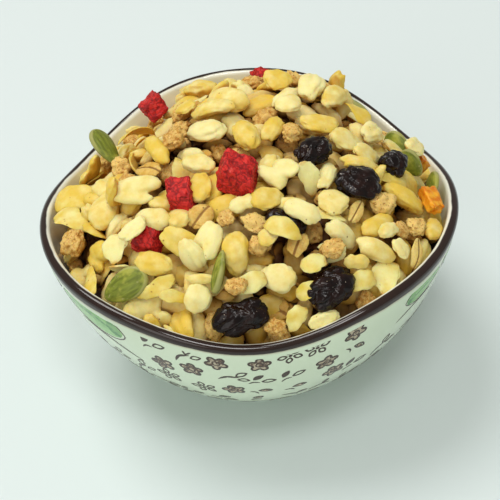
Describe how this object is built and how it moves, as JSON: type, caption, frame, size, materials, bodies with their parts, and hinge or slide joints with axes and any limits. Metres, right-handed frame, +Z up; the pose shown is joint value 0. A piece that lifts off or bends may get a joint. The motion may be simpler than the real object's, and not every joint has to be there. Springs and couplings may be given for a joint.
{
  "type": "bowl of fruit muesli",
  "caption": "Three-cornered glazed rice bowl heaped with puffed grains, oat flakes and toasted clusters, topped with raisins, strawberry pieces, pumpkin seeds and papaya.",
  "frame": {"origin": "on the table, under the middle of the bowl's box seen from above", "axes": "+Z up out of the bowl's mouth, +Y to the corner of the bowl at the back of the picture, +X to the right of the picture"},
  "size_m": [0.1146, 0.1144, 0.0798],
  "materials": {
    "bowl_glaze": "gloss",
    "muesli": "matte",
    "raisin": "satin",
    "strawberry": "matte",
    "pumpkin_seed": "satin",
    "papaya": "satin"
  },
  "bodies": {
    "root": {"bowl": "bowl_glaze", "muesli_heap": "muesli", "raisin_1": "raisin", "raisin_2": "raisin", "raisin_3": "raisin", "raisin_4": "raisin", "raisin_5": "raisin", "raisin_6": "raisin", "raisin_7": "raisin", "strawberry_1": "strawberry", "strawberry_2": "strawberry", "strawberry_3": "strawberry", "strawberry_4": "strawberry", "strawberry_5": "strawberry", "pumpkin_seed_1": "pumpkin_seed", "pumpkin_seed_2": "pumpkin_seed", "pumpkin_seed_3": "pumpkin_seed", "pumpkin_seed_4": "pumpkin_seed", "pumpkin_seed_5": "pumpkin_seed", "pumpkin_seed_6": "pumpkin_seed", "pumpkin_seed_7": "pumpkin_seed", "papaya_1": "papaya", "papaya_2": "papaya"}
  },
  "joints": []
}
